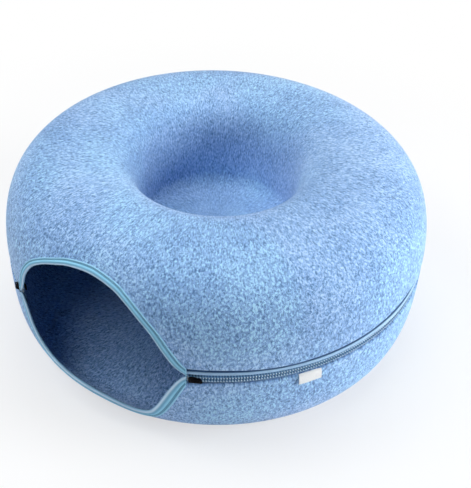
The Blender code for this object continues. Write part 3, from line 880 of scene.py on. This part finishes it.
# Across the folded binding, from its outer edge over the band and round the mouth's edge to its inner edge:
# millimetres from the mouth's edge, and millimetres proud of the felt's outside
BINDING_SECTION = (
    (9.2, 0.05), (9.1, 0.55), (8.8, 1.0), (8.3, 1.15), (7.8, 1.0), (7.5, 0.65), (7.25, 0.3), (7.0, 0.5),
    (6.75, 0.6), (6.5, 0.5), (6.25, 0.3), (6.0, 0.65), (5.5, 0.95), (4.6, 1.15), (3.7, 1.1), (2.8, 1.0),
    (1.9, 0.8), (1.1, 0.35), (0.5, -0.3), (0.15, -1.0), (0.1, -1.7), (0.5, -2.3), (1.2, -2.7), (2.6, -2.9),
    (4.5, -2.9), (6.6, -2.9), (7.6, -2.6),
)
# How wide each binding is, by the share of the mouth's half width, for the upper lip and the lower one
BINDING_WIDTHS = {
    1: ((-1.0, 0.75), (-0.85, 0.9), (-0.5, 0.92), (0.0, 1.0), (0.55, 1.1), (0.85, 1.2), (1.0, 1.2)),
    -1: ((-1.0, 0.6), (-0.8, 0.9), (0.4, 1.0), (0.8, 1.35), (1.0, 1.0)),
}
# How deep the bindings reach inside, which is less by the corners of the mouth
BINDING_DEPTHS = ((0.0, 1.0), (0.72, 1.0), (1.0, 0.62))
BINDING_APART = 0.0004
STITCH_LINE = 6.75
STITCH_GAP = 0.12
STITCH_RISE = 0.00075


def binding(name, half, body):
    """The tape folded over the felt's edge along one lip."""
    line, ways = lip_line(half, 0.0022)
    corner = MOUTH_HALF_WIDTH - 0.0003

    def place(along, across):
        index = round(along * (len(line) - 1))
        reach, proud = BINDING_SECTION[round(across * (len(BINDING_SECTION) - 1))]
        share = line[index].x / MOUTH_HALF_WIDTH
        point = line[index] + ways[index] * reach * MM * eased(BINDING_WIDTHS[half["sign"]], share)
        point.x = min(max(point.x, -corner), corner)
        middle = corner_raise(point.x)
        if half["sign"] * (point.y - middle) < BINDING_APART:
            point.y = middle + half["sign"] * BINDING_APART
        deep = eased(BINDING_DEPTHS, abs(share))
        return mouth_surface(point.x, point.y, proud * MM * (deep if proud < 0 else 1))[0]

    strip = one_way_round(cloth_strip(name, len(line) - 1, len(BINDING_SECTION) - 1, place))
    finish_with(strip, "SOLIDIFY", thickness=0.0007, offset=-1.0)
    smoothed(strip, 60)
    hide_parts(name)
    dressed(strip, BINDING_CLOTH, body)


def lip_stitches(name, half, body):
    """Stitches between the two grooves of one binding."""
    line, ways = lip_line(half, 0.0029)
    made = []
    for index in range(2, len(line) - 3):
        ends = []
        for end, gap in ((index, STITCH_GAP), (index + 1, -STITCH_GAP)):
            run = (line[index + 1] - line[index]) * gap
            width = eased(BINDING_WIDTHS[half["sign"]], line[end].x / MOUTH_HALF_WIDTH)
            ends.append(line[end] + run + ways[end] * STITCH_LINE * MM * width)
        middle = (ends[0] + ends[1]) / 2
        if half["sign"] * middle.y < 0.002 or abs(middle.x) > MOUTH_HALF_WIDTH - 0.003:
            continue
        bow = ((ends[0], 0.0001), (middle, STITCH_RISE), (ends[1], 0.0001))
        places = [mouth_surface(point.x, point.y, proud)[0] for point, proud in bow]
        made.append(rod("stitch", places, 0.00028, 0))
    stitches = smoothed(joined(name, made), 60)
    dressed(stitches, THREAD, body)


# ---------------------------------------------------------------- zip

# Across each tape, from the middle of the chain, as (height, radius). The upper tape folds out above the coil
TAPE_LINES = {
    1: ((0.14, 245.4), (2.2, 245.8), (3.6, 246.0), (5.4, 246.3), (6.1, 247.3), (6.5, 248.3), (7.0, 248.8),
        (7.7, 248.95), (8.5, 248.9), (9.3, 248.7), (10.0, 248.35), (10.5, 247.8), (10.7, 246.9), (10.9, 245.8),
        (22.6, 245.15)),
    -1: ((-0.14, 245.4), (-2.2, 245.8), (-3.4, 246.0), (-4.4, 246.2), (-5.2, 246.2), (-6.0, 246.0), (-7.0, 245.7),
         (-8.0, 245.4), (-9.5, 245.3), (-11.0, 245.3), (-12.5, 245.2), (-14.0, 245.2), (-15.5, 245.2),
         (-17.0, 245.2), (-18.6, 245.2)),
}
TAPE_INSET = 0.02
# The sag of the fold starts at this height and is full a little above it
SAG_START = 4.6
SAG_REACH = 1.5
# Along one turn of the coil, from the tape over to the middle and back under, as (height, radius)
COIL_BENDS = ((3.75, 246.2), (3.6, 247.4), (2.9, 248.1), (2.1, 248.3), (1.3, 248.15), (0.74, 247.5), (0.7, 246.6))
COIL_PITCH = 0.6905
COIL_TURNS = 441
COIL_SLANT = 0.34
COIL_INSET = 0.62
COIL_WIRE = 0.00056
CHAIN_RADIUS = 248
CORD_HEIGHT = 0.0030
CORD_RADIUS = 0.24825
CORD_THICKNESS = 0.0003
CORD_INSET = 0.45
CORD_STEPS = 152


def zip_tape(name, sign, body):
    line = TAPE_LINES[sign]

    def place(along, across):
        height, radius = line[round(across * (len(line) - 1))]
        azimuth = ZIP_START + TAPE_INSET + (ZIP_SWEEP - 2 * TAPE_INSET) * along
        sag = eased(FOLD_SAG, azimuth % 360) * held((height - SAG_START) / SAG_REACH)
        return rim_place(azimuth, (height - sag) * MM, radius * MM)

    tape = one_way_round(cloth_strip(name, 170, len(line) - 1, place))
    finish_with(tape, "SOLIDIFY", thickness=0.0006, offset=-1.0)
    smoothed(tape, 60)
    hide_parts(name)
    dressed(tape, TAPE_CLOTH, body)


def coil_row(name, sign, body):
    """One row of the coil: turns of nylon that lean along the chain, and the cord that holds them on the tape."""
    first = ZIP_START + COIL_INSET + (COIL_PITCH / 2 if sign < 0 else 0)
    places = []
    for height, radius in COIL_BENDS:
        height *= sign
        slant = math.degrees(COIL_SLANT * height / CHAIN_RADIUS)
        places.append(rim_place(first - slant, height * MM, radius * MM))
    row = round_the_rim(rod(name, places, COIL_WIRE, 1), COIL_PITCH, COIL_TURNS)
    cord = []
    for step in range(CORD_STEPS + 1):
        azimuth = ZIP_START + CORD_INSET + (ZIP_SWEEP - 2 * CORD_INSET) * step / CORD_STEPS
        cord.append(rim_place(azimuth, sign * CORD_HEIGHT, CORD_RADIUS))
    row = smoothed(joined(name, [row, rod("sewing", cord, CORD_THICKNESS, 0)]), 50)
    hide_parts(name)
    dressed(row, COIL_NYLON, body)


def end_stop(name, side, sign, body):
    """A pale moulded stop with rounded edges on the end of one row."""
    bpy.ops.object.select_all(action="DESELECT")
    bpy.ops.mesh.primitive_cube_add(size=1)
    stop = fresh(name)
    stop.scale = (0.0011, 0.0026, 0.0025)
    settled(stop)
    finish_with(stop, "BEVEL", width=0.0004, segments=3)
    azimuth = MOUTH_AZIMUTH + side * (MOUTH_HALF_ANGLE + 0.21)
    settled(stop, rim_frame(azimuth, 0.2473) @ Matrix.Translation((0, sign * 0.0022, 0)))
    smoothed(stop, 60)
    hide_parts(name)
    dressed(stop, STOP_PLASTIC, body)


def plate(name, outline, low, high, rounding):
    """A flat outline raised from low to high, with rounded edges."""
    points = [Vector((x, y, low)) for x, y in outline]
    made = thickened(filled(drawn_line(name, points)), Vector((0, 0, high - low)))
    return finish_with(made, "BEVEL", width=rounding, segments=3, limit_method="ANGLE")


def mirrored(above, side):
    """A whole outline from its upper half, turned end for end for the left-hand slider."""
    return [(x * side, -y * side) for x, y in reversed(above)] + [(x * side, y * side) for x, y in above]


def slider_body(name, side, body):
    """A zip slider: two plates with shoulders, a post between them, two rails and a wire crown for the pull."""
    half, shoulder, tail, post_half = 0.0065, 0.00415, 0.0029, 0.0001
    outline = mirrored([(half, tail - 0.0008), (half - 0.0008, tail), (0.0012, tail), (-0.0005, shoulder),
                        (-half + 0.0016, shoulder), (-half, shoulder - 0.0016)], side)
    outer = plate(name, outline, SLIDER_OUTER_BOTTOM, SLIDER_OUTER_TOP, 0.00045)
    inner = plate("inner_plate", outline, SLIDER_INNER_TOP - 0.0014, SLIDER_INNER_TOP, 0.0004)
    # The post is thin, so that it passes between the two rows of coil
    post = plate("post", [(-side * 0.0055, -post_half), (-side * 0.0025, -post_half), (-side * 0.0025, post_half),
                          (-side * 0.0055, post_half)], SLIDER_INNER_TOP - MM, SLIDER_OUTER_BOTTOM + MM, 0.00004)
    rails = []
    for up in (-1, 1):
        rail = [(side * 0.0005, up * tail), (side * 0.0058, up * (tail - 0.0001)),
                (side * 0.0058, up * (tail - 0.0008)), (side * 0.0005, up * (tail - 0.0008))]
        rails.append(plate("rail", rail, SLIDER_OUTER_TOP - 0.0002, SLIDER_OUTER_TOP + 0.0004, 0.0002))
    arch = [(-3.1, 0.0), (-2.9, 1.3), (-2.2, 2.2), (-1.0, 2.65), (1.0, 2.65), (2.2, 2.2), (2.9, 1.3), (3.1, 0.0)]
    crown = rod("crown", [Vector((x * MM, 0, SLIDER_OUTER_TOP - 0.0002 + z * MM)) for x, z in arch], 0.00055, 1)
    crown.scale.y = 1.5
    settled(crown)
    whole = joined(name, [outer, inner, post, crown] + rails)
    settled(whole, rim_frame(MOUTH_AZIMUTH + side * SLIDER_ANGLE))
    smoothed(whole, 45)
    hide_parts(name)
    dressed(whole, SLIDER_PAINT, body)


def slider_pull(name, side, body):
    """The pull tab, with rounded corners, a window round the crown and a raised grip at its end."""
    bar, wide, end = 0.0005, 0.0025, 0.0080
    outline = mirrored([(end, wide - 0.0011), (end - 0.0004, wide - 0.0003), (end - 0.0011, wide),
                        (-bar + 0.0004, wide), (-bar, wide - 0.0004)], side)
    tab = plate(name, outline, -0.0005, 0.0005, 0.0002)
    window = plate("window", [(side * 0.0005, -0.0013), (side * 0.0042, -0.0013), (side * 0.0042, 0.0013),
                              (side * 0.0005, 0.0013)], -0.002, 0.002, 0.0003)
    carve(tab, window)
    ribs = []
    for along in (0.0052, 0.0060, 0.0068):
        ribs.append(rod("rib", [Vector((side * along, y, 0.0005)) for y in (-0.0014, 0, 0.0014)], 0.00018, 1))
    whole = joined(name, [tab] + ribs)
    settled(whole, rim_frame(MOUTH_AZIMUTH + side * SLIDER_ANGLE, PULL_AXIS))
    smoothed(whole, 45)
    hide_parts(name)
    dressed(whole, SLIDER_PAINT, body)


def hinge_tape():
    """The stretch of tape behind the closed chain at the back, where the upper half folds open."""
    half_angle, width, radius = 4.2, 0.016, 0.2440

    def place(along, across):
        return rim_place(BACK_AZIMUTH - half_angle + 2 * half_angle * along, (across - 0.5) * width, radius)

    tape = cloth_strip("back_hinge_tape", 12, 16, place)
    finish_with(tape, "SOLIDIFY", thickness=0.0005, offset=0.0)
    smoothed(tape, 60)
    tape.data.materials.append(HINGE_CLOTH)
    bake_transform(tape)


# ---------------------------------------------------------------- label

LABEL_AZIMUTH = 293.8
LABEL_WIDTH = 0.0258
# From the seam under the chain out and down to the label's fold, and back up behind, as (height, radius)
LABEL_LINE = (
    (-5.4, 248.9), (-5.7, 249.8), (-6.6, 250.7), (-8.5, 251.4), (-11.5, 251.9), (-14.5, 252.2), (-17.2, 252.2),
    (-18.0, 252.0), (-18.3, 251.6), (-18.0, 251.3), (-16.0, 251.1), (-11.5, 250.8), (-6.8, 250.2), (-5.7, 249.0),
)


def side_label():
    """A blank folded satin label, sewn in under the chain and standing a little off the felt."""
    def place(along, across):
        height, radius = LABEL_LINE[round(across * (len(LABEL_LINE) - 1))]
        ripple = 0.25 * math.sin(along * 5.2 + 0.6) * held((-height - 6) / 10)
        azimuth = LABEL_AZIMUTH + math.degrees((along - 0.5) * LABEL_WIDTH / RIM)
        return rim_place(azimuth, height * MM, (radius + ripple) * MM)

    label = one_way_round(cloth_strip("side_label", 14, len(LABEL_LINE) - 1, place))
    finish_with(label, "SOLIDIFY", thickness=0.0003, offset=0.0)
    smoothed(label, 60)
    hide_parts("side_label")
    dressed(label, LABEL_SATIN, "lower")


# ---------------------------------------------------------------- run

camera()
studio()
felt_half("upper_shell", UPPER, UPPER["crest"], "upper")
felt_half("lower_shell", LOWER, SOLE_INNER, "lower")
binding("upper_lip_binding", UPPER, "upper")
binding("lower_lip_binding", LOWER, "lower")
lip_stitches("upper_lip_stitches", UPPER, "upper")
lip_stitches("lower_lip_stitches", LOWER, "lower")
for word, sign in (("upper", 1), ("lower", -1)):
    zip_tape(f"{word}_zip_tape", sign, word)
    coil_row(f"{word}_zip_coil", sign, word)
for word, side in (("right", 1), ("left", -1)):
    end_stop(f"{word}_upper_end_stop", side, 1, "upper")
    end_stop(f"{word}_lower_end_stop", side, -1, "lower")
    slider_body(f"{word}_slider_body", side, f"{word}_slider")
    slider_pull(f"{word}_slider_pull", side, f"{word}_pull")
hinge_tape()
side_label()
for patch in ("centre_hook_patch", "centre_loop_patch"):
    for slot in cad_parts[patch].material_slots:
        slot.material = PATCH_LOOPS
